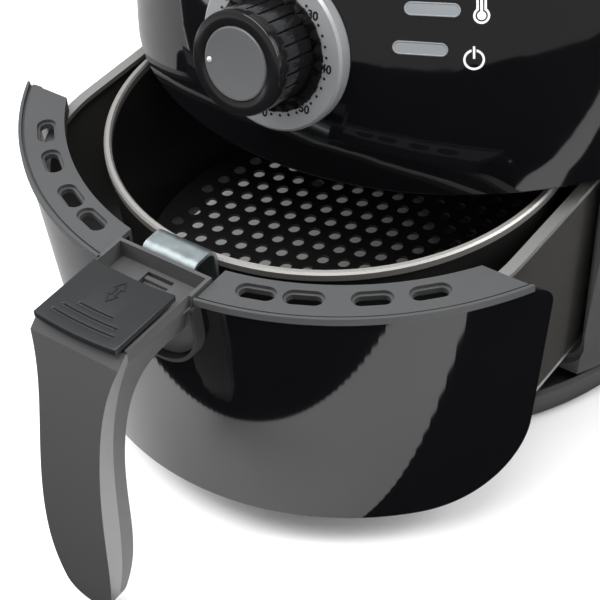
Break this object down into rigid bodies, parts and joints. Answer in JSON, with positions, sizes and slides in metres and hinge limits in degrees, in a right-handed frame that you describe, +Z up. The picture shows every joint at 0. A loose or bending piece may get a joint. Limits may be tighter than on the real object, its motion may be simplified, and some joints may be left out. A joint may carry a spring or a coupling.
{
  "type": "air fryer",
  "caption": "Countertop air fryer with a dome-shaped housing, a timer dial, and a pull-out drawer holding a round perforated basket with a long handle.",
  "frame": {"origin": "on the surface that the feet stand on, under the middle of the whole object with its drawer pulled out 80 mm", "axes": "+Z up, -Y towards the front and the handle, +X to the right seen from the front"},
  "size_m": [0.294, 0.4288, 0.3264],
  "materials": {
    "gloss_black": "high gloss moulded black",
    "dark_satin": "satin dark grey moulding",
    "black_matte": "fine matte black moulding",
    "trim_grey": "fine matte mid grey moulding",
    "handle_silver": "satin metallic grey paint",
    "handle_grey": "satin dark grey moulding",
    "nonstick": "black non-stick coating",
    "pan_gunmetal": "satin gunmetal non-stick coating",
    "zinc": "bright zinc plate",
    "sheet_steel": "plain sheet",
    "heater_steel": "dark heat-tinted steel",
    "dial_silver": "satin silver with a bright bevel",
    "lamp_lens": "frosted clear lens",
    "rubber": "matte",
    "motor_steel": "motor laminations and can",
    "white_plastic": "natural nylon"
  },
  "bodies": {
    "housing": {"base_tray": "dark_satin", "cavity_liner": "sheet_steel", "coil_guard": "sheet_steel", "cord_gland": "rubber", "dial_plate": "dial_silver", "drawer_frame": "dark_satin", "exhaust_duct": "sheet_steel", "front_cover": "gloss_black", "heat_chamber": "sheet_steel", "heat_shield": "sheet_steel", "heating_coil": "heater_steel", "housing_shell": "dark_satin", "lamp_board": "white_plastic", "lamp_lens_lower": "lamp_lens", "lamp_lens_upper": "lamp_lens", "motor": "motor_steel", "motor_bracket": "sheet_steel", "motor_screws": "zinc", "outlet_grille": "black_matte", "rubber_feet": "rubber", "safety_switch": "black_matte", "terminal_block": "white_plastic", "thermostat": "sheet_steel", "timer_body": "sheet_steel", "top_cap": "gloss_black"},
    "drawer": {"basket_wall": "nonstick", "basket_floor": "nonstick", "basket_feet": "nonstick", "hook_bracket": "zinc", "bracket_rivets": "zinc", "handle_shell": "handle_grey", "handle_front_plate": "handle_silver", "button_spring": "zinc", "lever_pin": "zinc", "pan": "pan_gunmetal", "drawer_front": "gloss_black", "trim_left": "trim_grey", "trim_right": "trim_grey", "handle_socket": "black_matte"},
    "release_cover": {"release_cover": "black_matte"},
    "release_button": {"release_button": "handle_grey"},
    "latch_lever": {"latch_lever": "handle_grey"},
    "timer_dial": {"timer_knob": "gloss_black", "timer_knob_cap": "handle_silver", "timer_spindle": "sheet_steel"},
    "heat_dial": {"heat_knob": "gloss_black", "heat_spindle": "sheet_steel"},
    "fan_rotor": {"convection_fan": "sheet_steel", "cooling_fan": "white_plastic", "motor_shaft": "sheet_steel"}
  },
  "joints": [
    {"name": "drawer_slide", "type": "slide", "parent": "housing", "child": "drawer", "axis": [0, -1, 0], "range_m": [-0.08, 0.06]},
    {"name": "release_cover_slide", "type": "slide", "parent": "drawer", "child": "release_cover", "axis": [0, 0.9781, -0.2079], "range_m": [0, 0.015]},
    {"name": "release_button_press", "type": "slide", "parent": "drawer", "child": "release_button", "axis": [0, 0, -1], "range_m": [0, 0.003], "stiffness_N_per_m": 400, "springref_m": -0.001, "deforming": ["button_spring"]},
    {"name": "latch_lever_rock", "type": "hinge", "parent": "drawer", "child": "latch_lever", "pos_m": [0, -0.16706, 0.1283], "axis": [1, 0, 0], "range_deg": [0, 15.5]},
    {"name": "timer_dial_turn", "type": "hinge", "parent": "housing", "child": "timer_dial", "pos_m": [0, -0.06796, 0.1904], "axis": [0, 0.9646, -0.2639], "range_deg": [0, 279]},
    {"name": "heat_dial_turn", "type": "hinge", "parent": "housing", "child": "heat_dial", "pos_m": [0, 0.07694, 0.312], "axis": [0, 0, -1], "range_deg": [0, 270]},
    {"name": "fan_spin", "type": "hinge", "parent": "housing", "child": "fan_rotor", "pos_m": [0, 0.05394, 0.192], "axis": [0, 0, 1], "continuous": true}
  ],
  "couplings": [
    {"joint": "latch_lever_rock", "follows": "release_button_press", "rad_per_m": 90}
  ]
}
